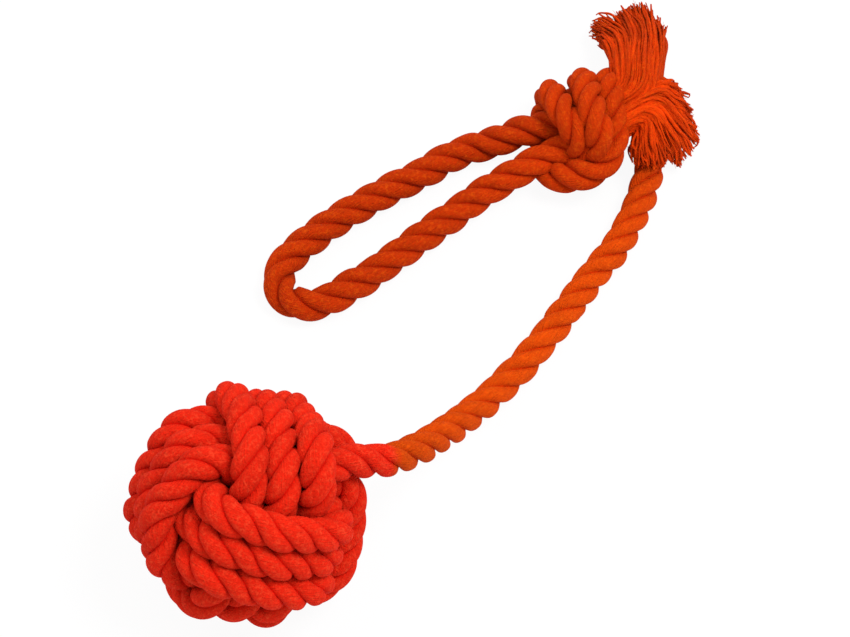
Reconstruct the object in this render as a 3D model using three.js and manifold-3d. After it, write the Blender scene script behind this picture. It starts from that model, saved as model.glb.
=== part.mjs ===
// Rope dog toy: a monkey's fist ball, a rope tail, a wrapped handle knot, a rope loop and two
// frayed ends. Millimetres, +Z up, lying on the floor z = 0.
//
// The ball and the knot are the two features that need the most skill. The ball is a real
// monkey's fist: three bands of three turns, each band lying square over the next. The turns are
// first laid as rounded rectangles and then drawn tight: each stretch of rope is pulled straight,
// and pushed off every other stretch and off the core ball. The knot is three leaning wraps of the
// tail round the two legs of the loop.
import * as THREE from "three";
import Module from "manifold-3d";
import { mergeVertices } from "three/addons/utils/BufferGeometryUtils.js";

const wasm = await Module();
wasm.setup();

// Rope
const ROPE_R = 4.8; // free rope, half of the laid diameter
const BALL_ROPE_R = 4.3; // rope pressed in the ball
const KNOT_ROPE_R = 4.4; // rope pressed in the handle knot
const LEG_R = 4.5; // legs of the loop inside the knot
const GAP = 0.35; // clearance of ball ends and legs
const CUT_GAP = 0.6; // clearance between two sections of one free rope
const BALL_CUT_SHARE = 0.13953488; // the same in the ball, as a share of BALL_ROPE_R
const CORE_GAP_SHARE = 0.08139535; // clearance of the core, as a share of BALL_ROPE_R
const CUT_POINTS = -1; // points past the middle of the hidden pass where a turn is cut
const SECTION_STEP = 4.2; // length of one facet along a free rope
const BALL_STEP = 3.7; // length of one facet in the ball
const POINT_DIVISIONS = 20; // measuring steps between two points of a route
const SIDES = 12; // facets round a free rope
const BALL_SIDES = 8; // facets round a rope in the ball

// Monkey's fist
const TURNS = 3;
const TURN_ROOM = 1.7; // between two turns side by side
const FIST_D = 2 * BALL_ROPE_R + TURN_ROOM; // spacing the turns are drawn to
const CORE_EASE = 0.05; // by which the core is smaller than the turns round it
const CORE_R = (TURNS * FIST_D) / 2 - CORE_EASE; // core ball as the rope feels it
const SHORT_EASE = 0.25; // play of a turn on the core before tightening
const BAND_SHORT = CORE_R + FIST_D / 2 + SHORT_EASE; // half width of a turn before tightening
const LONG_EASE = 1.55; // play of a turn over the turns below it
const BAND_LONG = CORE_R + (3 * FIST_D) / 2 + LONG_EASE; // half length of a turn before tightening
const BAND_POWER = 3; // roundness of that turn
const BAND_SPREAD_SHARE = 1.02; // turn spacing as a share of FIST_D
const STEP_DEG = 9; // angle between two points of a turn
const SIDESTEP_DEG = 30; // angle in which a turn steps to the next
const TUCK_DEG = 22; // angle left off at each hidden rope end
const FIRST_TUCK_DEG = 36; // the same at the start of the first band
const EXIT_POINTS = 9; // points from the last turn to the tail
const PASSES = 260; // tightening passes
const EASY_PASSES = 90; // last passes, at low tension
const TENSION_SHARE = 0.25;
const EASY_TENSION_SHARE = 0.04;
const PUSH_SHARE = 0.5;
const SAME_TURN_SHARE = 1.7; // rope this near along itself, in spacings, is no neighbour
const TURN_EASE = 0.7; // by which a tight turn is smaller than the two layers round the core
const MEAN_TURN_R = CORE_R + FIST_D - TURN_EASE; // for the length between two points of a turn
const BALL_R = CORE_R + 2 * FIST_D; // core and two layers of rope
const BALL_REST = 0.6; // how far the lowest turns give on the floor
const BALL_Z = BALL_R - BALL_REST; // height of its centre
const EXIT_REACH = 7.56432; // from the ball to the tail hinge, seen from above
const EXIT_DEG = 14.89753; // direction of the tail hinge from the ball, seen from above
const FIST_TURN_DEG = [4, -63, -46]; // how the ball lies, turned about X, then Y, then Z

// Routes of the free rope, [x, y, z], chosen on the object
const TAIL_HINGE = [-12.1, -68.8, 44];
const KNOT_HINGE = [61, 23.3, ROPE_R];
const TAIL_DROP = [
  [-7.6, -65.2, 40.5],
  [-1.5, -59.7, 34],
  [4.7, -53.4, 26],
  [11, -45.8, 18],
  [17.5, -37.7, 11.5],
  [24.1, -29, 7],
];
const TAIL_FLOOR = [
  [30.7, -21],
  [39, -10],
  [47.4, 2.5],
  [54.2, 13.4],
];
const KNOT_APPROACH = [
  [66.3, 33],
  [70.6, 41.9],
  [73.8, 50.6],
  [76, 58],
  [77.3, 65],
  [76, 72],
  [72, 77.6],
];
// From the start of the first wrap
const KNOT_CLIMB = [
  [2.4, 3.5, -8.5],
  [-2.4, 3.1, -4.7],
];
const LOOP_HINGES = [
  [31, 61.6, 11],
  [33, 48.4, 11],
];
const LOOP_UPPER = [
  [25.4, 61.2, 7],
  [19.6, 60.4, 5],
];
const LOOP_LOWER = [
  [27.9, 46, 7],
  [22, 43.2, 5],
];
const LOOP_FOLD = [
  [15.1, 59.2],
  [7, 54.6],
  [-1.7, 48.7],
  [-8.3, 45.2],
  [-18, 39.9],
  [-28.2, 34.1],
  [-36, 28.3],
  [-42.4, 23.3],
  [-47.6, 17.6],
  [-50.6, 9.8],
  [-46.6, 3],
  [-38, 1.2],
  [-31, 3.9],
  [-24.6, 8],
  [-16, 14.2],
  [-8.2, 20.4],
  [0, 26.8],
  [8.3, 33],
  [16.6, 39.6],
];
const FOLD_FROM = 6; // first and last point of the fold in that list
const FOLD_TO = 12;

// Handle knot
const KNOT_AT = [64, 61.7]; // where the wraps start
const LEG_ROOM = 0.5; // between the two legs
const LEG_SPACING = 2 * LEG_R + LEG_ROOM; // between their centre lines
const WRAP_ROOM = 1.4; // between two wraps, and over and under the legs
const SIDE_ROOM = 1.75; // beside the legs
const WRAP_PITCH = 2 * KNOT_ROPE_R + WRAP_ROOM;
const WRAP_HALF_Y = LEG_SPACING / 2 + LEG_R + SIDE_ROOM + KNOT_ROPE_R; // centre line, half width
const WRAP_HALF_Z = LEG_R + WRAP_ROOM + KNOT_ROPE_R; // centre line, half height
const WRAP_POWER = 2.3; // roundness of a wrap
const WRAP_LEAN = 4.4; // how far a wrap leans across the knot
const WRAP_COUNT = 3;
const WRAP_POINTS = 16; // points in one turn
const WRAP_END = 2.44; // turns made before the hidden end
const LEG_LEAD = 0.6; // straight leg before the last wrap
const LEG_TRAIL = 2; // and after the first
const LEG_LEFT_X = KNOT_AT[0] - (WRAP_COUNT - 1) * WRAP_PITCH - LEG_LEAD;
const LEG_RIGHT_X = KNOT_AT[0] + LEG_TRAIL;

// Frayed ends: [x, distance outside the leg's line, height over the knot's middle]
const TUFT_HINGES = [
  [73, 0.95, 0.3],
  [73.4, 0.75, 0.3],
];
// [x, distance past the knot's far side, height over half of a wrap's top, width, thickness]
const UPPER_TUFT = [
  [73, -9.9, -3.1, 10, 8],
  [72.6, -5.5, -1.5, 13, 8],
  [71.8, -1, -1.5, 14, 8],
  [69.8, 4.5, -4.3, 18, 8],
  [69.8, 12.5, -7.5, 20, 7.5],
  [70.6, 20.5, -10.1, 22, 7],
  [71.2, 26.5, -11.5, 19, 6],
  [72.4, 31.1, -12.5, 10, 4],
];
// [x, distance inside the lower leg's line, height over the knot's middle, width, thickness]
const LOWER_TUFT = [
  [77.4, -0.35, 0.3, 11, 8],
  [81, 1.25, -0.5, 16, 8],
  [84.4, 3.45, -2.5, 22, 7.5],
  [87.4, 4.65, -4.9, 25, 6.5],
  [89.8, 5.45, -7.1, 22, 5.5],
  [91.6, 6.05, -8.7, 15, 4],
];
const TUFT_SIDES = 14;

// The whole toy is moved by this much, so that its bounding box is centred on the origin
const SHIFT_X = -1.7;
const SHIFT_Y = 0.42;

// Colours and surface
const RED_ORANGE = "#e2331b";
const BURNT_ORANGE = "#cf4905";
const CORE_GREY = "#8f8a84";
const ROPE_ROUGHNESS = 0.9;

const FULL = 2 * Math.PI;
const DEG = Math.PI / 180;
const lying = (radius) => radius * Math.cos(Math.PI / SIDES); // height of a rope on one facet
const FLOOR_Z = lying(ROPE_R);
const KNOT_Z = WRAP_HALF_Z + KNOT_ROPE_R;
const KNOT_TOP = KNOT_Z + KNOT_ROPE_R;
const FAR_SIDE = KNOT_AT[1] + WRAP_HALF_Y + KNOT_ROPE_R;
const CLIMB_FROM = [KNOT_AT[0], KNOT_AT[1] + WRAP_HALF_Y, KNOT_Z];

const group = new THREE.Group();
group.name = "rope_dog_toy";

const at = ([x, y, z]) => new THREE.Vector3(x + SHIFT_X, y + SHIFT_Y, z);
const onFloor = ([x, y]) => at([x, y, FLOOR_Z]);
const climbed = (step) => at(step.map((d, i) => CLIMB_FROM[i] + d));
const byLeg = (side, [x, out, over]) =>
  at([x, KNOT_AT[1] + side * (LEG_SPACING / 2 + out), KNOT_Z + over]);
const byLowerLeg = ([x, inside, over]) => byLeg(-1, [x, -inside, over]);
const beyondKnot = ([x, past, over]) => at([x, FAR_SIDE + past, KNOT_TOP + over]);

function add(name, geometry, colour) {
  const material = new THREE.MeshStandardMaterial({
    color: colour,
    roughness: ROPE_ROUGHNESS,
    metalness: 0,
  });
  const mesh = new THREE.Mesh(geometry, material);
  mesh.name = name;
  group.add(mesh);
}

// The stretch of a rope's centre line between two distances from its start, a negative second
// distance being measured back from its end. No point of it comes lower than the given height.
class Stretch extends THREE.Curve {
  constructor(points, from, to, lowest) {
    super();
    this.whole = new THREE.CatmullRomCurve3(points);
    this.whole.arcLengthDivisions = POINT_DIVISIONS * (points.length - 1);
    const length = this.whole.getLength();
    this.from = from / length;
    this.to = (to > 0 ? to : length + to) / length;
    this.lowest = lowest;
  }
  getPoint(share, target = new THREE.Vector3()) {
    this.whole.getPointAt(this.from + (this.to - this.from) * share, target);
    target.z = Math.max(target.z, this.lowest);
    return target;
  }
}

// A polygon with flat sides, swept along a stretch.
function rope(stretch, radius, sides, step = SECTION_STEP) {
  const corners = [];
  for (let i = 0; i < sides; i++) {
    const turn = ((i + 1 / 2) * FULL) / sides;
    corners.push(new THREE.Vector2(radius * Math.cos(turn), radius * Math.sin(turn)));
  }
  return new THREE.ExtrudeGeometry(new THREE.Shape(corners), {
    steps: Math.max(2, Math.round(stretch.getLength() / step)),
    bevelEnabled: false,
    extrudePath: stretch,
  });
}

const flat = (points, from, to) => new Stretch(points, from, to, 0);
const raised = (points, from, to) => new Stretch(points, from, to, ROPE_R);

// Distances from the start of a rope to each point of its route.
function distances(points) {
  const path = new THREE.CatmullRomCurve3(points);
  path.arcLengthDivisions = POINT_DIVISIONS * (points.length - 1);
  return path.getLengths().filter((length, i) => i % POINT_DIVISIONS === 0);
}

function solid(geometry) {
  const bare = geometry.clone();
  bare.deleteAttribute("normal");
  bare.deleteAttribute("uv");
  const merged = mergeVertices(bare);
  const mesh = new wasm.Mesh({
    numProp: 3,
    vertProperties: merged.attributes.position.array,
    triVerts: new Uint32Array(merged.index.array),
  });
  return new wasm.Manifold(mesh);
}

function shown(body) {
  const mesh = body.getMesh();
  const geometry = new THREE.BufferGeometry();
  geometry.setAttribute("position", new THREE.BufferAttribute(mesh.vertProperties, 3));
  geometry.setIndex(new THREE.BufferAttribute(mesh.triVerts, 1));
  geometry.computeVertexNormals();
  return geometry;
}

// A rope section with a ball end on each hinge it turns about.
function hinged(geometry, centres, radius) {
  let body = solid(geometry);
  for (const centre of centres) {
    const ball = new THREE.SphereGeometry(radius, SIDES, SIDES / 2 + 2);
    ball.translate(centre.x, centre.y, centre.z);
    body = body.add(solid(ball));
  }
  return shown(body);
}

// Monkey's fist: one band of turns as laid, in its own axes [long, short, across].
function band(firstDeg, lastDeg, hiddenDeg) {
  const points = [];
  const spacing = FIST_D * BAND_SPREAD_SHARE;
  for (let deg = firstDeg; deg <= lastDeg + STEP_DEG / 100; deg += STEP_DEG) {
    const turn = Math.floor((deg - hiddenDeg) / 360);
    const past = deg - hiddenDeg - 360 * turn;
    let across = (turn - (TURNS - 1) / 2) * spacing;
    if (past < SIDESTEP_DEG && turn > 0) {
      across -= (spacing / 2) * (1 - past / SIDESTEP_DEG);
    }
    if (past > 360 - SIDESTEP_DEG && turn < TURNS - 1) {
      across += (spacing / 2) * (1 - (360 - past) / SIDESTEP_DEG);
    }
    const c = Math.cos(deg * DEG);
    const s = Math.sin(deg * DEG);
    const sum = Math.abs(c / BAND_LONG) ** BAND_POWER + Math.abs(s / BAND_SHORT) ** BAND_POWER;
    const r = sum ** (-1 / BAND_POWER);
    points.push([r * c, r * s, across]);
  }
  return points;
}

// The three bands drawn tight. The first one ends in the tail, at tailEnd.
function tightFist(tailEnd) {
  const laid = band(90 + FIRST_TUCK_DEG, 90 + 360 * TURNS, 90);
  const first = laid.map(([l, s, w]) => new THREE.Vector3(w, s, l));
  const last = first[first.length - 1].clone();
  for (let i = 1; i <= EXIT_POINTS; i++) {
    first.push(last.clone().lerp(tailEnd, i / EXIT_POINTS));
  }
  const other = band(-90 + TUCK_DEG, -90 + 360 * TURNS - TUCK_DEG, -90);
  const second = other.map(([l, s, w]) => new THREE.Vector3(l, w, s));
  const third = other.map(([l, s, w]) => new THREE.Vector3(s, l, w));
  const curves = [first, second, third];
  const all = [];
  curves.forEach((curve, k) => {
    curve.forEach((p, i) => all.push({ p, k, i, end: i === 0 || i === curve.length - 1 }));
  });
  const pointStep = (FULL * MEAN_TURN_R * STEP_DEG) / 360;
  const reach = SAME_TURN_SHARE * FIST_D;
  const coreReach = CORE_R + FIST_D / 2;
  const away = new THREE.Vector3();
  for (let pass = 0; pass < PASSES; pass++) {
    const pull = pass < PASSES - EASY_PASSES ? TENSION_SHARE : EASY_TENSION_SHARE;
    for (const curve of curves) {
      const before = curve.map((p) => p.clone());
      for (let i = 1; i < curve.length - 1; i++) {
        const middle = before[i - 1].clone().add(before[i + 1]).multiplyScalar(1 / 2);
        curve[i].lerp(middle, pull);
      }
    }
    for (let half = 0; half < 2; half++) {
      const push = all.map(() => new THREE.Vector3());
      const touching = all.map(() => 0);
      for (let a = 0; a < all.length; a++) {
        for (let b = a + 1; b < all.length; b++) {
          if (all[a].k === all[b].k && (b - a) * pointStep < reach) {
            continue;
          }
          away.subVectors(all[a].p, all[b].p);
          const distance = away.length();
          if (distance >= FIST_D) {
            continue;
          }
          away.multiplyScalar((FIST_D - distance) / distance);
          push[a].add(away);
          push[b].sub(away);
          touching[a]++;
          touching[b]++;
        }
      }
      all.forEach((one, n) => {
        if (!one.end) {
          const share = PUSH_SHARE / 2 / Math.max(1, touching[n] / 2);
          one.p.addScaledVector(push[n], share);
        }
      });
    }
    for (const one of all) {
      if (!one.end && one.p.length() < coreReach) {
        one.p.setLength(coreReach);
      }
    }
  }
  return curves;
}

const turned = new THREE.Euler(...FIST_TURN_DEG.map((deg) => deg * DEG), "XYZ");
const lie = new THREE.Quaternion().setFromEuler(turned);
const tailHinge = at(TAIL_HINGE);
const fistCentre = tailHinge.clone();
fistCentre.x -= (BALL_R + EXIT_REACH) * Math.cos(EXIT_DEG * DEG);
fistCentre.y -= (BALL_R + EXIT_REACH) * Math.sin(EXIT_DEG * DEG);
fistCentre.z = BALL_Z;
const tailEnd = tailHinge.clone().sub(fistCentre).applyQuaternion(lie.clone().invert());
const fist = tightFist(tailEnd).map((curve) =>
  curve.map((p) => p.clone().applyQuaternion(lie).add(fistCentre)),
);

const coreR = CORE_R + FIST_D / 2 - (1 + CORE_GAP_SHARE) * BALL_ROPE_R;
const core = new THREE.SphereGeometry(coreR, 2 * SIDES, SIDES);
core.translate(fistCentre.x, fistCentre.y, fistCentre.z);
add("fist_core", core, CORE_GREY);

// Each band is cut into its turns where the rope steps aside, on its hidden passes.
const turnPoints = 360 / STEP_DEG;
const ballCut = BALL_CUT_SHARE * BALL_ROPE_R;
const bandNames = ["first", "second", "third"];
fist.forEach((curve, k) => {
  const firstDeg = k === 0 ? FIRST_TUCK_DEG : TUCK_DEG;
  const along = distances(curve);
  const cutAt = [k === 0 ? 0 : along[1]];
  for (let turn = 1; turn <= TURNS; turn++) {
    const whole = Math.round(turn * turnPoints - firstDeg / STEP_DEG) + CUT_POINTS;
    const to = turn < TURNS || k === 0 ? whole : curve.length - 2;
    cutAt.push(along[to]);
  }
  for (let turn = 1; turn <= TURNS; turn++) {
    const piece = new Stretch(curve, cutAt[turn - 1] + ballCut / 2, cutAt[turn] - ballCut / 2, 0);
    add(`fist_${bandNames[k]}_turn_${turn}`, rope(piece, BALL_ROPE_R, BALL_SIDES, BALL_STEP), RED_ORANGE);
  }
  if (k === 0) {
    const exit = new Stretch(curve, cutAt[TURNS] + ballCut / 2, -(ROPE_R + GAP), 0);
    add("fist_exit", rope(exit, BALL_ROPE_R, BALL_SIDES, BALL_STEP), RED_ORANGE);
  }
});

// Handle knot: the wraps start on the far side, go over the top and lean to the right.
function wrapPoint(turns) {
  const angle = turns * FULL;
  const c = Math.cos(angle);
  const s = Math.sin(angle);
  const sum = Math.abs(c / WRAP_HALF_Y) ** WRAP_POWER + Math.abs(s / WRAP_HALF_Z) ** WRAP_POWER;
  const r = sum ** (-1 / WRAP_POWER);
  const x = KNOT_AT[0] - WRAP_PITCH * turns - WRAP_LEAN * c;
  return at([x, KNOT_AT[1] + r * c, KNOT_Z + r * s]);
}
const wraps = [];
for (let i = 0; i <= WRAP_END * WRAP_POINTS; i++) {
  wraps.push(wrapPoint(i / WRAP_POINTS));
}

// Tail: from the hinge at the ball down to the floor, along it to the hinge at the knot, round
// the right side of the knot and up into the wraps.
const knotHinge = at(KNOT_HINGE);
const tail = [tailHinge, ...TAIL_DROP.map(at), ...TAIL_FLOOR.map(onFloor)];
const landed = TAIL_DROP.length + 2;
const knotPoint = tail.length;
tail.push(onFloor(KNOT_HINGE), ...KNOT_APPROACH.map(onFloor), ...KNOT_CLIMB.map(climbed));
const wrapStart = tail.length;
tail.push(...wraps);
const tailAt = distances(tail);
const dropRun = raised(tail, 0, tailAt[landed] - CUT_GAP / 2);
add("tail_drop", hinged(rope(dropRun, ROPE_R, SIDES), [tailHinge], ROPE_R), BURNT_ORANGE);
const floorRun = flat(tail, tailAt[landed] + CUT_GAP / 2, tailAt[knotPoint] - ROPE_R - GAP);
add("tail_floor", rope(floorRun, ROPE_R, SIDES), BURNT_ORANGE);
const entryEnd = tailAt[wrapStart] - CUT_GAP / 2;
const entryRun = new Stretch(tail, tailAt[knotPoint], entryEnd, lying(KNOT_ROPE_R));
add("knot_entry", hinged(rope(entryRun, KNOT_ROPE_R, SIDES), [knotHinge], ROPE_R), BURNT_ORANGE);
for (let k = 0; k < WRAP_COUNT; k++) {
  const from = tailAt[wrapStart + k * WRAP_POINTS] + CUT_GAP / 2;
  const to = k < WRAP_COUNT - 1 ? tailAt[wrapStart + (k + 1) * WRAP_POINTS] - CUT_GAP / 2 : -GAP;
  add(`knot_wrap_${k + 1}`, rope(flat(tail, from, to), KNOT_ROPE_R, SIDES), BURNT_ORANGE);
}

// Loop: its two legs run through the wraps side by side and end in the tufts.
const legNames = ["upper", "lower"];
const tufts = [UPPER_TUFT, LOWER_TUFT];
const places = [beyondKnot, byLowerLeg];
const tuftHinges = [byLeg(1, TUFT_HINGES[0]), byLeg(-1, TUFT_HINGES[1])];
legNames.forEach((name, k) => {
  const side = k === 0 ? 1 : -1;
  const y = KNOT_AT[1] + (side * LEG_SPACING) / 2;
  const leg = [
    at(LOOP_HINGES[k]),
    at([LEG_LEFT_X, y, KNOT_Z]),
    at([(LEG_LEFT_X + LEG_RIGHT_X) / 2, y, KNOT_Z]),
    at([LEG_RIGHT_X, y, KNOT_Z]),
    tuftHinges[k],
  ];
  const run = flat(leg, ROPE_R + GAP, -(LEG_R + GAP));
  add(`knot_leg_${name}`, rope(run, LEG_R, SIDES), BURNT_ORANGE);
});

const loopHinges = LOOP_HINGES.map(at);
const loop = [loopHinges[0], ...LOOP_UPPER.map(at), ...LOOP_FOLD.map(onFloor)];
const foldFrom = LOOP_UPPER.length + 1 + FOLD_FROM;
const foldTo = LOOP_UPPER.length + 1 + FOLD_TO;
loop.push(...LOOP_LOWER.map(at).reverse(), loopHinges[1]);
const loopAt = distances(loop);
const upperRun = raised(loop, 0, loopAt[foldFrom] - CUT_GAP / 2);
const foldRun = flat(loop, loopAt[foldFrom] + CUT_GAP / 2, loopAt[foldTo] - CUT_GAP / 2);
const lowerRun = raised(loop, loopAt[foldTo] + CUT_GAP / 2, loopAt[loop.length - 1]);
add("loop_upper_leg", hinged(rope(upperRun, ROPE_R, SIDES), [loopHinges[0]], ROPE_R), BURNT_ORANGE);
add("loop_fold", rope(foldRun, ROPE_R, SIDES), BURNT_ORANGE);
add("loop_lower_leg", hinged(rope(lowerRun, ROPE_R, SIDES), [loopHinges[1]], ROPE_R), BURNT_ORANGE);

// A tuft: flat rounded sections along its line, closed at both ends, with a ball end on its hinge.
function tuft(hinge, stations, place) {
  const centres = [hinge, ...stations.map(place)];
  const widths = [2 * LEG_R, ...stations.map((one) => one[3])];
  const heights = [2 * LEG_R, ...stations.map((one) => one[4])];
  const position = [];
  const index = [];
  const up = new THREE.Vector3(0, 0, 1);
  centres.forEach((centre, i) => {
    const before = centres[Math.max(0, i - 1)];
    const after = centres[Math.min(centres.length - 1, i + 1)];
    const along = after.clone().sub(before).normalize();
    const side = along.clone().cross(up).normalize();
    const over = side.clone().cross(along);
    for (let j = 0; j < TUFT_SIDES; j++) {
      const turn = (j * FULL) / TUFT_SIDES;
      const p = centre.clone();
      p.addScaledVector(side, (Math.cos(turn) * widths[i]) / 2);
      p.addScaledVector(over, (Math.sin(turn) * heights[i]) / 2);
      position.push(p.x, p.y, p.z);
    }
  });
  const rings = centres.length;
  for (let i = 0; i < rings - 1; i++) {
    for (let j = 0; j < TUFT_SIDES; j++) {
      const a = i * TUFT_SIDES + j;
      const b = i * TUFT_SIDES + ((j + 1) % TUFT_SIDES);
      index.push(a, a + TUFT_SIDES, b);
      index.push(b, a + TUFT_SIDES, b + TUFT_SIDES);
    }
  }
  for (let j = 1; j < TUFT_SIDES - 1; j++) {
    const end = (rings - 1) * TUFT_SIDES;
    index.push(0, j, j + 1);
    index.push(end, end + j + 1, end + j);
  }
  const geometry = new THREE.BufferGeometry();
  geometry.setAttribute("position", new THREE.BufferAttribute(new Float32Array(position), 3));
  geometry.setIndex(index);
  return hinged(geometry, [hinge], LEG_R);
}
legNames.forEach((name, k) => {
  add(`tuft_${name}`, tuft(tuftHinges[k], tufts[k], places[k]), BURNT_ORANGE);
});

export default group;
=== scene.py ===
import math

import bpy
import numpy as np
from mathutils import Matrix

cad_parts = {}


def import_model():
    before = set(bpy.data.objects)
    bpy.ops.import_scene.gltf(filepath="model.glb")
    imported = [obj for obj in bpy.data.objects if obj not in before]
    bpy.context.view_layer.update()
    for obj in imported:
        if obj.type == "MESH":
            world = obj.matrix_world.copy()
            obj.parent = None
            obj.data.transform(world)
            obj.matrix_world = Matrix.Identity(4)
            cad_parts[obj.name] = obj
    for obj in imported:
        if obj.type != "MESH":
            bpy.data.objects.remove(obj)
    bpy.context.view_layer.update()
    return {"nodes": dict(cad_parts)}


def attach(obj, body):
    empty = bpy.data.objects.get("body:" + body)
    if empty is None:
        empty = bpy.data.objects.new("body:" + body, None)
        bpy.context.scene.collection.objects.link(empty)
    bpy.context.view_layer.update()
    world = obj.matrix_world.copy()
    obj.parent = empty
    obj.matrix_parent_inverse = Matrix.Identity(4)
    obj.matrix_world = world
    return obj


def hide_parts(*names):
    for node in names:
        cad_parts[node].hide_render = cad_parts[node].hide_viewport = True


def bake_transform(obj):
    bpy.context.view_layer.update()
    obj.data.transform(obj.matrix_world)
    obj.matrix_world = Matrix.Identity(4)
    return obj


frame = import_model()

MM = 0.001
SHIFT = np.array([-1.7, 0.42, 0.0]) * MM  # the toy's box is centred on the origin


def world(points):
    """World points from route points in mm."""
    return np.array(points, float) * MM + SHIFT


# ---------------------------------------------------------------- camera
ELEVATION = math.radians(65)
DISTANCE = 0.9
SENSOR = 36.0
CLIP_END = 10
IMAGE_WIDTH = 850
IMAGE_HEIGHT = 637
PIXEL_AT_DISTANCE = 0.000328  # length that one pixel shows at that distance
CAMERA_AT = np.array(
    [SHIFT[0], SHIFT[1] - DISTANCE * math.cos(ELEVATION), DISTANCE * math.sin(ELEVATION)]
)

camera_data = bpy.data.cameras.new("camera")
camera_data.sensor_width = SENSOR
camera_data.lens = SENSOR * (DISTANCE / PIXEL_AT_DISTANCE) / IMAGE_WIDTH
camera_data.clip_end = CLIP_END
camera = bpy.data.objects.new("camera", camera_data)
camera.location = CAMERA_AT
camera.rotation_euler = (math.pi / 2 - ELEVATION, 0, 0)
bpy.context.scene.collection.objects.link(camera)
bpy.context.scene.camera = camera


def seen(points):
    """World points from [photograph column, row, height in mm]."""
    points = np.asarray(points, float)
    k = PIXEL_AT_DISTANCE / DISTANCE
    column = (points[:, 0] - IMAGE_WIDTH / 2) * k
    row = (IMAGE_HEIGHT / 2 - points[:, 1]) * k
    c, s = math.cos(ELEVATION), math.sin(ELEVATION)
    ray = np.stack([column, c + row * s, -s + row * c], axis=1)
    t = (points[:, 2] * MM - CAMERA_AT[2]) / ray[:, 2]
    return CAMERA_AT + ray * t[:, None]


# ---------------------------------------------------------------- curves
TINY = 1e-12
FINE_STEPS = 24  # between two points of a curve, before it is cut at even steps
STEEP = 0.8  # a tangent with more than this much rise is framed from the X axis


def unit(v):
    return v / np.maximum(np.linalg.norm(v, axis=-1, keepdims=True), TINY)


def spline(points, step):
    """A centripetal curve through the points, at even steps. Also the distance of each point."""
    p = np.asarray(points, float)
    ends = np.vstack([2 * p[0] - p[1], p, 2 * p[-1] - p[-2]])
    fine, marks = [], []
    for i in range(1, len(ends) - 2):
        a, b, c, d = ends[i - 1 : i + 3]
        t1 = np.linalg.norm(b - a) ** 0.5
        t2 = t1 + np.linalg.norm(c - b) ** 0.5
        t3 = t2 + np.linalg.norm(d - c) ** 0.5
        t = np.linspace(t1, t2, FINE_STEPS, endpoint=False)[:, None]
        ab = (t1 - t) / t1 * a + t / t1 * b
        bc = (t2 - t) / (t2 - t1) * b + (t - t1) / (t2 - t1) * c
        cd = (t3 - t) / (t3 - t2) * c + (t - t2) / (t3 - t2) * d
        abc = (t2 - t) / t2 * ab + t / t2 * bc
        bcd = (t3 - t) / (t3 - t1) * bc + (t - t1) / (t3 - t1) * cd
        marks.append(len(fine))
        fine.extend((t2 - t) / (t2 - t1) * abc + (t - t1) / (t2 - t1) * bcd)
    marks.append(len(fine))
    fine.append(p[-1])
    fine = np.array(fine)
    s = np.r_[0, np.cumsum(np.linalg.norm(np.diff(fine, axis=0), axis=1))]
    even = np.linspace(0, s[-1], max(3, int(round(s[-1] / step)) + 1))
    out = np.stack([np.interp(even, s, fine[:, k]) for k in range(3)], axis=1)
    return out, s[marks]


def frames(p):
    """Tangent, normal and binormal along a curve, carried without turning."""
    t = unit(np.gradient(p, axis=0))
    start = np.array([0, 0, 1.0]) if abs(t[0][2]) < STEEP else np.array([1.0, 0, 0])
    n = np.zeros_like(p)
    n[0] = unit(start - t[0] * (start @ t[0]))
    for i in range(1, len(p)):
        v = n[i - 1] - t[i] * (n[i - 1] @ t[i])
        n[i] = v / np.linalg.norm(v)
    return t, n, np.cross(t, n)


# ---------------------------------------------------------------- monkey's fist, in mm
# The same routes as in the CAD model.
FIST_D = 10.3  # spacing the turns are drawn to
TURNS = 3
BAND_LONG = 32.4  # half length and half width of a turn before tightening
BAND_SHORT = 20.8
BAND_POWER = 3  # roundness of that turn
BAND_SPREAD = 1.02  # turn spacing as a share of FIST_D
STEP_DEG = 9.0  # angle between two points of a turn
SIDESTEP_DEG = 30.0  # angle in which a turn steps to the next
TUCK_DEG = 22.0  # angle left off at each hidden rope end
FIRST_TUCK_DEG = 36.0  # the same at the start of the first band
CORE_R = 15.4
MEAN_TURN_R = 25
EXIT_POINTS = 9  # points from the last turn to the tail
PASSES = 260  # tightening passes
EASY_PASSES = 90  # last passes, at low tension
TENSION = 0.25
EASY_TENSION = 0.04
PUSH = 0.25
PUSHES = 2  # in each pass
SAME_TURN_SHARE = 1.7  # rope this near along itself, in spacings, is no neighbour
NO_ZERO = 1e-9  # keeps the distances off zero
FIST_AT = np.array([-54.2, -80, 35.4])
FIST_TURN_DEG = (4, -63, -46)
TAIL_HINGE = np.array([-12.1, -68.8, 44])
# The felted rope is thicker than its solids, so the ball rests higher.
FIST_EASE = np.array([0.5, 0.6, 0.9])


def turned(degrees):
    """The matrix of a turn about X, then Y, then Z."""
    x, y, z = np.radians(degrees)
    rx = np.array([[1, 0, 0], [0, math.cos(x), -math.sin(x)], [0, math.sin(x), math.cos(x)]])
    ry = np.array([[math.cos(y), 0, math.sin(y)], [0, 1, 0], [-math.sin(y), 0, math.cos(y)]])
    rz = np.array([[math.cos(z), -math.sin(z), 0], [math.sin(z), math.cos(z), 0], [0, 0, 1]])
    return rx @ ry @ rz


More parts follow.
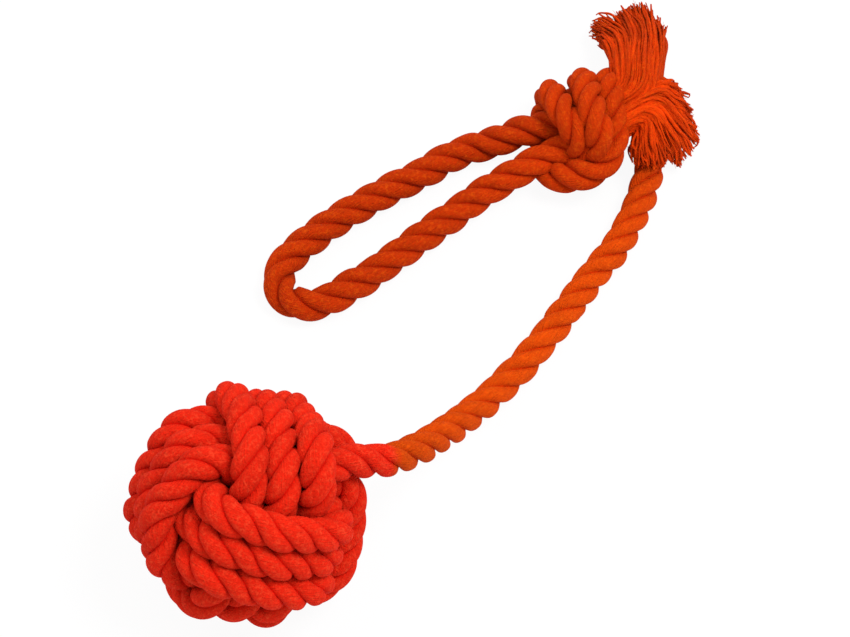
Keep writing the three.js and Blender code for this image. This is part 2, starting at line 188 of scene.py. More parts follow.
def band(first, last, hidden):
    """One band of turns as laid: long, short, across. It steps over at the hidden angle."""
    deg = np.arange(first, last + STEP_DEG / 100, STEP_DEG)
    turn = np.floor((deg - hidden) / 360)
    past = deg - hidden - 360 * turn
    spacing = FIST_D * BAND_SPREAD
    across = (turn - (TURNS - 1) / 2) * spacing
    early = (past < SIDESTEP_DEG) & (turn > 0)
    across -= early * spacing / 2 * (1 - past / SIDESTEP_DEG)
    late = (past > 360 - SIDESTEP_DEG) & (turn < TURNS - 1)
    across += late * spacing / 2 * (1 - (360 - past) / SIDESTEP_DEG)
    c, s = np.cos(np.radians(deg)), np.sin(np.radians(deg))
    r = (abs(c / BAND_LONG) ** BAND_POWER + abs(s / BAND_SHORT) ** BAND_POWER) ** (-1 / BAND_POWER)
    return np.stack([r * c, r * s, across], axis=1)


def tight_fist(tail_end):
    """The three bands drawn tight: tension along each rope, contact between ropes and core."""
    laid = band(90 + FIRST_TUCK_DEG, 90 + 360 * TURNS, 90)[:, [2, 1, 0]]
    share = np.arange(1, EXIT_POINTS + 1)[:, None] / EXIT_POINTS
    first = np.vstack([laid, laid[-1] + share * (tail_end - laid[-1])])
    other = band(-90 + TUCK_DEG, -90 + 360 * TURNS - TUCK_DEG, -90)
    curves = [first, other[:, [0, 2, 1]], other[:, [1, 0, 2]]]
    p = np.vstack(curves)
    off = np.r_[0, np.cumsum([len(c) for c in curves])]
    which = np.repeat([0, 1, 2], np.diff(off))
    order = np.arange(len(p))
    gap = abs(order[:, None] - order[None]) * 2 * math.pi * MEAN_TURN_R * STEP_DEG / 360
    near = (which[:, None] == which[None]) & (gap < SAME_TURN_SHARE * FIST_D)
    fixed = np.r_[off[:-1], off[1:] - 1]
    free = np.ones(len(p), bool)
    free[fixed] = False
    for k in range(PASSES):
        pull = TENSION if k < PASSES - EASY_PASSES else EASY_TENSION
        q = p.copy()
        middle = 0.5 * (p[:-2] + p[2:])
        inner = free[1:-1]
        q[1:-1][inner] += pull * (middle - p[1:-1])[inner]
        p = q
        for _ in range(PUSHES):
            d = p[:, None] - p[None]
            dist = np.sqrt((d * d).sum(-1)) + NO_ZERO
            over = np.where(near, 0, np.clip(FIST_D - dist, 0, None))
            push = np.einsum("ij,ijk->ik", over / dist, d) * PUSH
            count = (over > 0).sum(1)
            p = p + free[:, None] * push / np.maximum(1, count / 2)[:, None]
        r = np.linalg.norm(p, axis=1)
        limit = CORE_R + FIST_D / 2
        grow = np.where((r < limit) & free, limit / r, 1.0)
        p = p * grow[:, None]
    return [p[off[k] : off[k + 1]] for k in range(3)]


lie = turned(FIST_TURN_DEG)
local_end = lie.T @ (TAIL_HINGE - FIST_AT)
fist = [world(c @ lie.T + FIST_AT + FIST_EASE) for c in tight_fist(local_end)]


# ---------------------------------------------------------------- free rope, route points in mm
LIE = 5.1  # height of the centre of a rope that lies on the floor
TAIL = [
    (-7.6, -65.2, 40.5),
    (-1.5, -59.7, 34),
    (4.3, -52.5, 26),
    (10.5, -44.8, 18),
    (16.9, -36.7, 11.5),
    (23.6, -28.3, 7),
    (30.3, -20.5, LIE),
    (38.8, -9.8, LIE),
    (47.7, 2.4, LIE),
    (55, 13, LIE),
    (62.4, 22.6, LIE),
    (67.7, 32.4, LIE),
    (71.8, 41.5, LIE),
    (74.6, 50.4, LIE),
    (76, 58, LIE),
    (77.3, 65, LIE),
    (76, 72, LIE),
    (73, 79, LIE),
]
# The wraps of the handle knot, in the order the rope makes them: right, left, middle.
WRAP_RIGHT = [
    (68, 83.2, 6),
    (64.5, 83, 9.5),
    (61.8, 81, 14),
    (61.4, 75.9, 19),
    (62, 69.1, 21.3),
    (62.5, 62.9, 21),
    (62.3, 57.2, 19.5),
    (60.9, 52.6, 17),
    (57.5, 49.2, 14.4),
    (52.3, 47.4, 12.2),
    (47.1, 47.6, 10.4),
    (42.5, 49.6, 7.6),
    (40.2, 54, 5.2),
    (40, 61, 5),
    (40.3, 69, 5),
]
WRAP_LEFT = [
    (40.9, 75.2, 7.5),
    (41.9, 76.4, 13.5),
    (43, 72, 19.4),
    (44.8, 66, 23.2),
    (47.3, 60.6, 24.5),
    (49.8, 56.6, 22.5),
    (51.6, 54.4, 17.5),
    (52, 54.4, 11),
    (51.6, 58, 6),
    (51.2, 65, 5),
    (51.2, 73, 5.2),
]
WRAP_MIDDLE = [
    (51.6, 79.6, 8),
    (52.4, 80.4, 14.5),
    (53.1, 76.2, 21.2),
    (53.8, 69, 26),
    (55, 62, 27.8),
    (56.4, 56.6, 26.4),
    (57.4, 53.6, 22),
    (57.2, 53, 16.5),
    (56, 55, 10.5),
    (54.6, 60, 7.5),
]
LOOP = [
    (62, 66.2, 15),
    (57, 65.8, 14.8),
    (52, 65.2, 14.2),
    (47, 64.9, 13.6),
    (42, 64.8, 12.8),
    (36, 64.2, 11.8),
    (31, 63.6, 10.4),
    (25.4, 62.4, 8),
    (20.2, 61.6, 6),
    (15.1, 60.4, LIE),
    (7, 56.4, LIE),
    (-1.7, 50.6, LIE),
    (-8.3, 46.8, LIE),
    (-18, 41, LIE),
    (-28, 34.5, LIE),
    (-35.4, 28.6, LIE),
    (-41.4, 23.2, LIE),
    (-45.9, 17.6, LIE),
    (-48, 10.4, LIE),
    (-44.8, 4.4, LIE),
    (-38, 2.6, LIE),
    (-31, 4.7, LIE),
    (-24.6, 8.8, LIE),
    (-16, 14.9, LIE),
    (-8.2, 21.2, LIE),
    (0, 27.9, LIE),
    (8.3, 34.6, LIE),
    (16.4, 41, 5.6),
    (22, 44.7, 6.8),
    (27.9, 47.7, 8.8),
    (33.5, 50.4, 11),
    (39, 53.1, 12.2),
    (45, 55.4, 13),
    (51, 57, 14.2),
    (57, 57.4, 15),
    (62, 57, 15),
]
LEG_POINTS = 6  # points of the loop at each end that lie inside the knot
MIDDLE_POINT = 6  # point of the tail at which it is cut in two
KNOT_POINT = 1  # point of the first wrap at which the knot starts
SWEEP_POINTS = [6, 8, 10, 12]  # points of the first wrap between which it is pulled wide
FOLD_POINTS = [0, 9, 14, 17, 20, 24, 29, 35]  # points of the loop that FOLD_RADII belong to


# ---------------------------------------------------------------- laid rope
LOBES = 3
LOBE_COLUMNS = 18
STRAND_AT = 0.54  # centre of a strand, and its half height and width, in radii of the rope
STRAND_OUT = 0.46
STRAND_WIDE = 0.575
CREASE_CROWDING = 1.35  # by which the columns of a strand crowd toward its creases
RING_STEP = 0.0006
SWELL_STEP = 0.006  # between two random thicknesses of a strand
SWELL = 0.028  # and how far they spread, as a share
YARN_R = 5.0  # mm, for the yarn coordinates round the rope


def lobe_profile():
    """Radius of a three-strand rope round its axis, and how deep each point lies in a crease."""
    half = math.pi / LOBES
    t = np.linspace(-1, 1, LOBE_COLUMNS, endpoint=False)
    angle = half * np.sign(t) * (1 - (1 - abs(t)) ** CREASE_CROWDING)
    c, s = np.cos(angle), np.sin(angle)
    a = (c / STRAND_OUT) ** 2 + (s / STRAND_WIDE) ** 2
    b = -2 * c * STRAND_AT / STRAND_OUT**2
    k = (STRAND_AT / STRAND_OUT) ** 2 - 1
    radius = (-b + np.sqrt(b * b - 4 * a * k)) / (2 * a)
    top = (radius - radius.min()) / (radius.max() - radius.min())
    angles = np.concatenate([angle + 2 * half * i for i in range(LOBES)])
    return angles, np.tile(radius, LOBES), np.tile(top, LOBES)


LOBE_ANGLE, LOBE_RADIUS, LOBE_TOP = lobe_profile()


def make_mesh(name, verts, quads, uvs, values_at, caps=(), normals=None):
    """An object of smooth quads and flat caps, with yarn coordinates and a value at each vertex."""
    mesh = bpy.data.meshes.new(name)
    faces = len(quads)
    corners = 4 * faces + sum(len(c) for c in caps)
    mesh.vertices.add(len(verts))
    mesh.vertices.foreach_set("co", np.ascontiguousarray(verts, np.float32).ravel())
    mesh.loops.add(corners)
    index = np.concatenate([quads.ravel(), *[np.asarray(c) for c in caps]])
    mesh.loops.foreach_set("vertex_index", index.astype(np.int32))
    mesh.polygons.add(faces + len(caps))
    starts = list(range(0, 4 * faces, 4))
    at = 4 * faces
    for c in caps:
        starts.append(at)
        at += len(c)
    mesh.polygons.foreach_set("loop_start", np.array(starts, np.int32))
    smooth = np.arange(faces + len(caps)) < faces
    mesh.polygons.foreach_set("use_smooth", smooth)
    layer = mesh.uv_layers.new(name="lay")
    flat = np.zeros((corners, 2), np.float32)
    flat[: 4 * faces] = uvs.reshape(-1, 2)
    layer.data.foreach_set("uv", flat.ravel())
    for key, values in values_at.items():
        values = np.asarray(values, np.float32)
        if values.ndim == 1:
            mesh.attributes.new(key, "FLOAT", "POINT").data.foreach_set("value", values)
        else:
            rgba = np.c_[values, np.ones(len(values), np.float32)].ravel()
            mesh.attributes.new(key, "FLOAT_COLOR", "POINT").data.foreach_set("color", rgba)
    mesh.update(calc_edges=True)
    mesh.validate()
    if normals is not None:
        mesh.normals_split_custom_set_from_vertices(normals)
    piece = bpy.data.objects.new(name, mesh)
    bpy.context.scene.collection.objects.link(piece)
    return piece


class Rope:
    """A whole rope, from which pieces are cut, so that its strands run on from piece to piece."""

    def __init__(self, points, radius_at, lay_at, dye_and_light_at, groove_at, seed, phase=0.0):
        self.p = spline(points, RING_STEP)[0]
        self.s = np.r_[0, np.cumsum(np.linalg.norm(np.diff(self.p, axis=0), axis=1))]
        _, self.n, self.b = frames(self.p)
        self.radius = radius_at(self.s)
        lay = lay_at(self.s)
        turn = 2 * math.pi / lay
        self.twist = phase + np.r_[0, np.cumsum(0.5 * (turn[1:] + turn[:-1]) * np.diff(self.s))]
        self.dye_and_light = dye_and_light_at(self.s)
        self.groove = groove_at(self.s)
        rng = np.random.default_rng(seed)
        count = int(self.s[-1] / SWELL_STEP)
        knots = np.linspace(0, self.s[-1], count)
        self.swell = [np.interp(self.s, knots, rng.normal(0, SWELL, count)) for _ in range(LOBES)]
        self.tone = np.repeat(rng.normal(0, 1, LOBES), LOBE_COLUMNS)

    def cut(self, name, start, end):
        """The piece of the rope between two distances from its start, and its centre line."""
        i0, i1 = np.searchsorted(self.s, [start, end])
        i1 = min(i1 + 1, len(self.s))
        before, after = min(i0, 1), min(len(self.s) - i1, 1)
        rows = slice(i0 - before, i1 + after)
        p, n, b = self.p[rows], self.n[rows], self.b[rows]
        angle = LOBE_ANGLE[None] + self.twist[rows, None]
        swell = np.concatenate(
            [np.repeat(self.swell[k][rows, None], LOBE_COLUMNS, axis=1) for k in range(LOBES)],
            axis=1,
        )
        profile = 1 - (1 - LOBE_RADIUS[None]) * self.groove[rows, None]
        radius = profile * self.radius[rows, None] * (1 + swell * LOBE_TOP[None])
        verts = (
            p[:, None]
            + radius[..., None] * np.cos(angle)[..., None] * n[:, None]
            + radius[..., None] * np.sin(angle)[..., None] * b[:, None]
        )
        # The shading runs on over a cut: it is taken from the rings on both sides.
        around = np.roll(verts, -1, axis=1) - np.roll(verts, 1, axis=1)
        normals = unit(np.cross(around, np.gradient(verts, axis=0)))
        normals *= np.sign(((verts - p[:, None]) * normals).sum(-1, keepdims=True))
        rows = slice(i0, i1)
        trim = slice(before, before + i1 - i0)
        verts, normals, angle, p = verts[trim], normals[trim], angle[trim], p[trim]
        rings, cols = verts.shape[:2]
        i, j = np.meshgrid(np.arange(rings - 1), np.arange(cols), indexing="ij")
        k = (j + 1) % cols
        quads = np.stack([i * cols + j, i * cols + k, (i + 1) * cols + k, (i + 1) * cols + j], -1)
        u = self.s[rows] / MM
        v = angle * YARN_R
        v_step = (np.roll(LOBE_ANGLE, -1) - LOBE_ANGLE)[None] % (2 * math.pi) * YARN_R
        v_next = v + v_step
        uv = np.stack(
            [
                np.stack([u[i], v[i, j]], -1),
                np.stack([u[i], v_next[i, j]], -1),
                np.stack([u[i + 1], v_next[i + 1, j]], -1),
                np.stack([u[i + 1], v[i + 1, j]], -1),
            ],
            axis=2,
        )
        dye_and_light = np.repeat(self.dye_and_light[rows, None], cols, axis=1).reshape(-1, 3)
        top = np.repeat(LOBE_TOP[None], rings, axis=0).ravel()
        tone = np.repeat(self.tone[None], rings, axis=0).ravel()
        caps = [np.arange(cols)[::-1], (rings - 1) * cols + np.arange(cols)]
        piece = make_mesh(
            name,
            verts.reshape(-1, 3),
            quads.reshape(-1, 4),
            uv.reshape(-1, 4, 2),
            {"dye_and_light": dye_and_light, "top": top, "tone": tone},
            caps,
            normals.reshape(-1, 3),
        )
        return piece, p


def linear(red, green, blue):
    """The linear colour of a screen colour, whose values run to 255."""
    c = np.array([red, green, blue]) / 255
    return np.where(c <= 0.04045, c / 12.92, ((c + 0.055) / 1.055) ** 2.4)


RED = linear(228, 36, 14)
# The tail, knot and loop are one orange rope: the tail's lighter orange is painted light, and the
# knot's and loop's darker oranges are painted shade.
TAIL_ORANGE = linear(217, 71, 2)
KNOT_ORANGE = linear(197, 52, 1)
LOOP_ORANGE = linear(187, 48, 1)


def constant(value):
    return lambda s: np.full(len(s), float(value))


def along(stops, values):
    """A function of the distance, which runs from value to value between the stops."""
    values = np.asarray(values, float)
    if values.ndim == 1:
        return lambda s: np.interp(s, stops, values)
    return lambda s: np.stack([np.interp(s, stops, values[:, k]) for k in range(3)], axis=1)


BALL_R = 5.6 * MM
TAIL_R = 5.2 * MM
KNOT_R = 5.0 * MM
SWEEP_R = 5.9 * MM  # the outer pass of the knot is pulled flat and wide
LOOP_R = 5.3 * MM
FOLD_R = 5.6 * MM
FOLD_RADII = [LOOP_R, 5.45 * MM, 5.4 * MM, FOLD_R, FOLD_R, 5.4 * MM, LOOP_R, LOOP_R]
BALL_LAY = 23.7 * MM
TAIL_LAY = 24 * MM
DROP_LAY = 30 * MM  # the lay opens where the rope hangs from the ball
LOOP_LAY = 28 * MM
THINS_OVER = 2 * MM  # past the ball's hinge, where the rope takes its free radius
OPENS_OVER = 12 * MM  # past it, where the lay is open
CLOSES_OVER = 30 * MM  # past the middle of the tail, where it is closed again
BALL_GROOVE = 0.78  # share of the depth of its grooves that rope pressed in the ball keeps
CHANGE_HALF = 1.5 * MM  # half length of the change of dye at the hinge
DARKENS_FROM = 45 * MM  # past the middle of the tail, from where its painted lighter orange darkens to the knot's painted shade
TAIL_START_SHADE = 0.86  # share of the tail's orange that it starts with next to that change, lightening to the middle
LOOP_TO_KNOT_SHARES = (0.75, 0.9)  # of the loop, between which its orange becomes the knot's; both are painted shade
BAND_PHASE = 0.7  # turn of the strands at the start of a band, for each band
LOOP_PHASE = 0.4  # and at the start of the loop
FIRST_BAND_SEED = 10

# The first rope: first band of the ball, tail and wraps of the handle knot.
route = np.vstack([fist[0], world(TAIL), world(WRAP_RIGHT), world(WRAP_LEFT), world(WRAP_MIDDLE)])
marks = spline(route, RING_STEP)[1]
tail_at = len(fist[0])
wraps_at = tail_at + len(TAIL)
hinge_mark = marks[tail_at - 1]
exit_mark = marks[tail_at - 1 - EXIT_POINTS]
middle_mark = marks[tail_at + MIDDLE_POINT]
knot_mark = marks[wraps_at + KNOT_POINT]
end_mark = marks[-1]
sweep_marks = marks[wraps_at + np.array(SWEEP_POINTS)]
first_rope = Rope(
    route,
    along(
        [0, exit_mark, hinge_mark + THINS_OVER, knot_mark, *sweep_marks, end_mark],
        [BALL_R, BALL_R, TAIL_R, TAIL_R, KNOT_R, SWEEP_R, SWEEP_R, KNOT_R, KNOT_R],
    ),
    along(
        [
            0,
            exit_mark,
            hinge_mark + OPENS_OVER,
            middle_mark,
            middle_mark + CLOSES_OVER,
            end_mark,
        ],
        [BALL_LAY, BALL_LAY, DROP_LAY, DROP_LAY, TAIL_LAY, TAIL_LAY],
    ),
    # Red on the ball, then orange painted lighter along the tail and darker, as painted shade,
    # toward the knot.
    along(
        [
            0,
            hinge_mark - CHANGE_HALF,
            hinge_mark + CHANGE_HALF,
            middle_mark,
            middle_mark + DARKENS_FROM,
            knot_mark,
            end_mark,
        ],
        [
            RED,
            RED,
            TAIL_ORANGE * TAIL_START_SHADE,
            TAIL_ORANGE,
            TAIL_ORANGE,
            KNOT_ORANGE,
            KNOT_ORANGE,
        ],
    ),
    along([0, exit_mark, hinge_mark, end_mark], [BALL_GROOVE, BALL_GROOVE, 1, 1]),
    seed=1,
)
band_first, _ = first_rope.cut("ball_band_first", 0, exit_mark)
tail_near_ball, near_ball_path = first_rope.cut("tail_near_ball", exit_mark, middle_mark)
tail_near_knot, near_knot_path = first_rope.cut("tail_near_knot", middle_mark, knot_mark)
knot_wraps, _ = first_rope.cut("knot_wraps", knot_mark, end_mark)

other_bands = []
for k, name in ((1, "ball_band_second"), (2, "ball_band_third")):
    length = spline(fist[k], RING_STEP)[1][-1]
    rope = Rope(
        fist[k],
        constant(BALL_R),
        constant(BALL_LAY),
        along([0, length], [RED, RED]),
        constant(BALL_GROOVE),
        seed=FIRST_BAND_SEED + k,
        phase=BAND_PHASE * k,
    )
    other_bands.append(rope.cut(name, 0, length)[0])

# The second rope: the loop, with both legs inside the knot.
loop_route = world(LOOP)
loop_marks = spline(loop_route, RING_STEP)[1]
loop_end = loop_marks[-1]
loop_rope = Rope(
    loop_route,
    along(loop_marks[FOLD_POINTS], FOLD_RADII),
    constant(LOOP_LAY),
    # The loop's orange is painted shade, like the knot's, to which it changes.
    along(
        [0, *[loop_end * share for share in LOOP_TO_KNOT_SHARES], loop_end],
        [LOOP_ORANGE, LOOP_ORANGE, KNOT_ORANGE, KNOT_ORANGE],
    ),
    constant(1),
    seed=2,
    phase=LOOP_PHASE,
)
leg_out = loop_marks[LEG_POINTS - 1]
leg_in = loop_marks[len(LOOP) - LEG_POINTS]
leg_upper, _ = loop_rope.cut("knot_leg_upper_rope", 0, leg_out)
loop, loop_path = loop_rope.cut("handle_loop", leg_out, leg_in)
leg_lower, _ = loop_rope.cut("knot_leg_lower_rope", leg_in, loop_end)


# ---------------------------------------------------------------- frayed ends
# Five lines across each tuft, from its left or upper edge to the other: fibres run from the
# first line to the last. The first two are in mm, the others [column, row, height in mm].
UPPER_FAN = (
    world([(57, 71.2, 15.5), (57, 63.2, 15.5)]),
    world([(61.5, 75, 17.5), (66.5, 73.5, 20), (71.5, 71.5, 20), (75.5, 69.5, 17)]),
    seen([(612, 68, 17), (624, 66, 20), (638, 66, 21), (651, 68, 19), (661, 72, 15)]),
    seen(
        [(608, 52, 14), (611, 44, 14), (615, 40, 14), (620, 37, 14), (626, 35, 14), (633, 34, 14),
         (638, 34, 14), (643, 35, 14), (648, 37, 14), (653, 39, 14), (657, 42, 14), (660, 45, 13),
         (662, 47, 12)]
    ),
    seen(
        [(604, 46, 9), (597, 37, 8), (590, 30, 8), (592, 22, 8), (599, 17, 8), (612, 14, 7),
         (619, 11, 7), (626, 8, 7), (632, 4, 7), (638, 3, 7), (643, 4, 7), (649, 10, 7),
         (655, 17, 7), (660, 23, 8), (664, 28, 9)]
    ),
)
LOWER_FAN = (
    world([(57, 61.4, 15), (57, 53.2, 15)]),
    world([(65, 68, 17.5), (67, 65.5, 19.5), (67.8, 62.5, 19.5), (67, 59.8, 17)]),
    seen(
        [(652, 84, 17), (657, 91, 19), (658, 101, 19.5), (656, 111, 19.5), (651, 121, 19),
         (644, 128, 18), (635, 131, 15.5)]
    ),
    seen(
        [(662, 80, 15), (668, 87, 15), (673, 95, 15), (676, 104, 15), (678, 112, 14.5),
         (679, 121, 14), (679, 129, 13), (676, 137, 13), (669, 143, 14), (661, 147, 15),
         (653, 149, 16), (645, 149, 16), (638, 148, 15), (631, 146, 14)]
    ),
    seen(
        [(672, 82, 12), (681, 92, 9), (685, 101, 9), (693, 112, 8), (690, 120, 8), (696, 130, 7),
         (699, 139, 6), (696, 148, 5), (688, 160, 4), (679, 167, 4), (671, 160, 6), (666, 166, 9),
         (657, 168, 12), (648, 167, 13), (640, 166, 13), (634, 163, 12)]
    ),
)
LOCKS = 400
HAIRS = 120
LOCK_RINGS = 27
LOCK_SIDES = 6
CLUMP_SPREAD = 0.12
CLUMPED_SHARE = 0.8  # of the locks that are drawn to the middle of their clump
CLUMP_PULL = 0.65
HAIR_SPREAD = 0.03
LOCK_REACH = (0.8, 0.94)  # how far fibres run between the last two lines
HAIR_REACH = (0.8, 1.0)
# Half thickness of the tuft at each line, and how far its fibres stray there, in mm.
LINE_THICKNESS = ((4.2, 0), (4.6, 0.3), (4.6, 0.5), (3.6, 0.7), (1.8, 0.6))
ROUND_LINES = 3  # first lines, where the tuft is round like the rope
FLAT_SHARE = 0.7  # of the thickness that the edges keep past them
WAVE_TURNS = (8, 22)  # radians that a fibre waves through
WAVE_START = (0, 6.28)
LOCK_WAVE = 0.34  # and how far, in mm
HAIR_WAVE = 0.4
WAVE_RATES = (1.3, 0.8)  # of the waves along Y and Z
LOCK_R = (0.45, 0.9)
HAIR_R = (0.07, 0.13)
STRAY_R = 0.5
STRAY_STEP = 0.5
TAPER = 0.65
LOWEST = 0.8  # height over the floor that fibres keep
UP = (0.1, 0.2, 1.0)
FIBRE_UV_STEP = 37  # mm between the yarn coordinates of two fibres
FIBRE_UV_R = 0.8
SHADES = (0.88, 0.24)  # darkest dye of a fibre, and how much lighter the palest is
TOPS = (0.75, 0.25)  # the same for how far it is from a crease


def between(points, share):
    """Points at shares of the way along a line."""
    at = np.clip(share, 0, 1) * (len(points) - 1)
    i = np.minimum(at.astype(int), len(points) - 2)
    f = (at - i)[:, None]
    return points[i] * (1 - f) + points[i + 1] * f


def smooth_lines(lines, count):
    """A smooth path through the five points of each fibre, with count points."""
    control = np.stack([2 * lines[0] - lines[1], *lines, 2 * lines[4] - lines[3]], axis=1)
    t = np.linspace(0, 4, count)
    i = np.minimum(t.astype(int), 3)
    f = (t - i)[None, :, None]
    a, b, c, d = (control[:, i + k] for k in range(4))
    square = (2 * a - 5 * b + 4 * c - d) * f**2
    cube = (3 * b - a - 3 * c + d) * f**3
    return 0.5 * (2 * b + (c - a) * f + square + cube)


def tuft(name, fan, strays, clumps, brightness, seed):
    """Tapered locks and single fibres, drawn together into clumps at their tips."""
    rng = np.random.default_rng(seed)
    total = LOCKS + HAIRS
    lock = np.arange(total) < LOCKS
    across = rng.uniform(0, 1, total)
    layer = rng.uniform(-1, 1, total)
    clump = (np.floor(across * clumps) + 0.5 + rng.normal(0, CLUMP_SPREAD, total)) / clumps
    drawn = (1 - CLUMP_PULL) * across + CLUMP_PULL * clump
    tip_at = np.where(rng.uniform(0, 1, total) < CLUMPED_SHARE, drawn, across)
    tip_at = np.where(lock, tip_at, across + rng.normal(0, HAIR_SPREAD, total))
    reach = np.where(lock, rng.uniform(*LOCK_REACH, total), rng.uniform(*HAIR_REACH, total))
    round_off = np.sqrt(1 - (2 * across - 1) ** 2)
    places = [across] * ROUND_LINES + [0.5 * (across + tip_at), tip_at]
    lines = [between(line, place) for line, place in zip(fan, places)]
    lines[4] = lines[3] + (lines[4] - lines[3]) * reach[:, None]
    for k, (thick, stray) in enumerate(LINE_THICKNESS):
        flat = FLAT_SHARE + (1 - FLAT_SHARE) * round_off
        lines[k][:, 2] += thick * MM * layer * (round_off if k < ROUND_LINES else flat)
        lines[k] += rng.normal(0, stray, (total, 3)) * MM
    path = smooth_lines(lines, LOCK_RINGS)
    share = np.linspace(0, 1, LOCK_RINGS)[None]
    wave = rng.uniform(*WAVE_TURNS, (total, 1)) * share + rng.uniform(*WAVE_START, (total, 1))
    size = np.where(lock, LOCK_WAVE, HAIR_WAVE)[:, None] * MM * share
    path[..., 0] += size * np.sin(wave)
    path[..., 1] += size * np.cos(WAVE_RATES[0] * wave)
    path[..., 2] += size * np.sin(WAVE_RATES[1] * wave)
    for k, stray in enumerate(strays):
        even = spline(seen(stray), STRAY_STEP * MM)[0]
        path[k] = between(even, np.linspace(0, 1, LOCK_RINGS))
    path[..., 2] = np.maximum(path[..., 2], LOWEST * MM)
    forward = unit(np.gradient(path, axis=1))
    side = unit(np.cross(forward, np.array(UP)))
    over = np.cross(side, forward)
    thick = np.where(lock, rng.uniform(*LOCK_R, total), rng.uniform(*HAIR_R, total))[:, None]
    thick[: len(strays)] = STRAY_R
    radius = thick * MM * (1 - TAPER * share**3)
    turn = np.arange(LOCK_SIDES) * 2 * math.pi / LOCK_SIDES
    ring = (
        path[:, :, None]
        + (radius[..., None] * np.cos(turn))[..., None] * side[:, :, None]
        + (radius[..., None] * np.sin(turn))[..., None] * over[:, :, None]
    )
    spread = LOCK_RINGS * LOCK_SIDES
    n, i, j = np.meshgrid(
        np.arange(total), np.arange(LOCK_RINGS - 1), np.arange(LOCK_SIDES), indexing="ij"
    )
    here = n * spread + i * LOCK_SIDES
    on = here + LOCK_SIDES
    j2 = (j + 1) % LOCK_SIDES
    quads = np.stack([here + j, here + j2, on + j2, on + j], axis=-1)
    step = np.linalg.norm(np.diff(path, axis=1), axis=2)
    run = np.concatenate([np.zeros((total, 1)), np.cumsum(step, axis=1)], axis=1)
    u = run / MM + FIBRE_UV_STEP * np.arange(total)[:, None]
    v = FIBRE_UV_R * turn
    v_step = FIBRE_UV_R * turn[1]
    uv = np.stack(
        [
            np.stack([u[n, i], v[j]], -1),
            np.stack([u[n, i], v[j] + v_step], -1),
            np.stack([u[n, i + 1], v[j] + v_step], -1),
            np.stack([u[n, i + 1], v[j]], -1),
        ],
        axis=-2,
    )
    shade = SHADES[0] + SHADES[1] * rng.uniform(0, 1, (total, 1))
    top = TOPS[0] + TOPS[1] * rng.uniform(0, 1, total)
    return make_mesh(
        name,
        ring.reshape(-1, 3),
        quads.reshape(-1, 4),
        uv.reshape(-1, 4, 2),
        {
            # KNOT_ORANGE times brightness is painted light; shade is each fibre's random tone.
            "dye_and_light": np.repeat(KNOT_ORANGE * brightness * shade, spread, axis=0),
            "top": np.repeat(top, spread),
            "tone": np.repeat(rng.normal(0, 1, total), spread),
        },
    )


# Locks that curl away from the tufts by themselves, in [column, row, height in mm].
UPPER_STRAYS = (
    [(626, 30, 13), (616, 18, 12), (610, 14, 11), (603, 13, 9), (599, 13, 8), (596, 15, 7)],
    [(622, 34, 13), (610, 23, 12), (601, 18, 10), (595, 20, 8), (592, 21, 7)],
    [(618, 38, 13), (607, 29, 11), (597, 28, 9), (592, 30, 8), (589, 33, 7)],
    [(618, 40, 13), (609, 36, 11), (600, 35, 9), (594, 36, 8), (589, 36, 7)],
)
LOWER_STRAYS = (
    [(664, 86, 16), (672, 85, 15), (677, 86, 13), (679, 90, 11), (683, 93, 9), (690, 95, 8),
     (688, 98, 7)],
    [(668, 92, 16), (678, 93, 14), (683, 92, 11), (690, 94, 8)],
    [(680, 112, 14), (688, 116, 12), (694, 122, 9), (696, 128, 7), (697, 126, 6)],
    [(684, 126, 12), (692, 132, 9), (698, 138, 7), (697, 145, 5), (693, 148, 5)],
    [(676, 138, 13), (680, 148, 10), (680, 158, 7), (679, 166, 5)],
)
# The tufts are frayed ends of the knot's rope: brightness paints them lighter than the knot, the
# lower one more, as painted light against the shade between their locks.
tuft_upper = tuft("tuft_upper_fibres", UPPER_FAN, UPPER_STRAYS, clumps=15, brightness=1.2, seed=5)
tuft_lower = tuft("tuft_lower_fibres", LOWER_FAN, LOWER_STRAYS, clumps=13, brightness=1.36, seed=6)


# ---------------------------------------------------------------- materials
def new_material(name):
    material = bpy.data.materials.new(name)
    material.use_nodes = True
    tree = material.node_tree
    tree.nodes.clear()
    return material, tree


def node(tree, kind, inputs=(), **settings):
    made = tree.nodes.new(kind)
    for key, value in settings.items():
        setattr(made, key, value)
    for key, value in dict(inputs).items():
        if isinstance(value, bpy.types.NodeSocket):
            tree.links.new(value, made.inputs[key])
        else:
            made.inputs[key].default_value = value
    return made


def math_node(tree, operation, a, b=0.0, clamp=False):
    inputs = {0: a, 1: b}
    return node(tree, "ShaderNodeMath", inputs, operation=operation, use_clamp=clamp).outputs[0]


def blend_colour(tree, factor, a, b):
    made = tree.nodes.new("ShaderNodeMix")
    made.data_type = "RGBA"
    sockets = {s.identifier: s for s in made.inputs}
    for key, value in (("Factor_Float", factor), ("A_Color", a), ("B_Color", b)):
        if isinstance(value, bpy.types.NodeSocket):
            tree.links.new(value, sockets[key])
        else:
            sockets[key].default_value = value
    return [s for s in made.outputs if s.type == "RGBA"][0]


def scaled(tree, value, scale, base):
    """The value times a scale, plus a base."""
    made = math_node(tree, "MULTIPLY_ADD", value, scale)
    made.node.inputs[2].default_value = base
    return made


def noise(tree, vector, scale, detail, roughness, **settings):
    inputs = {"Vector": vector, "Scale": scale, "Detail": detail, "Roughness": roughness}
    return node(tree, "ShaderNodeTexNoise", inputs, **settings).outputs["Fac"]


def output(tree, kind, surface):
    tree.links.new(surface, node(tree, kind).inputs["Surface"])


STREAK_SCALE = (0.22, 2.6, 1.0)  # along the yarns, across them
# Scale, detail and roughness of the noises.
STREAK_NOISE = (1.0, 3.0, 0.55)
FELT_NOISE = (1500.0, 4.0, 0.62)
PATCH_NOISE = (130.0, 3.0, 0.5)
FLECK_NOISE = (800.0, 2.0, 0.6)
FLECK_DISTORTION = 0.6
FLECK_FROM = 0.48  # values of the noise between which a fleck comes up
FLECK_TO = 0.74
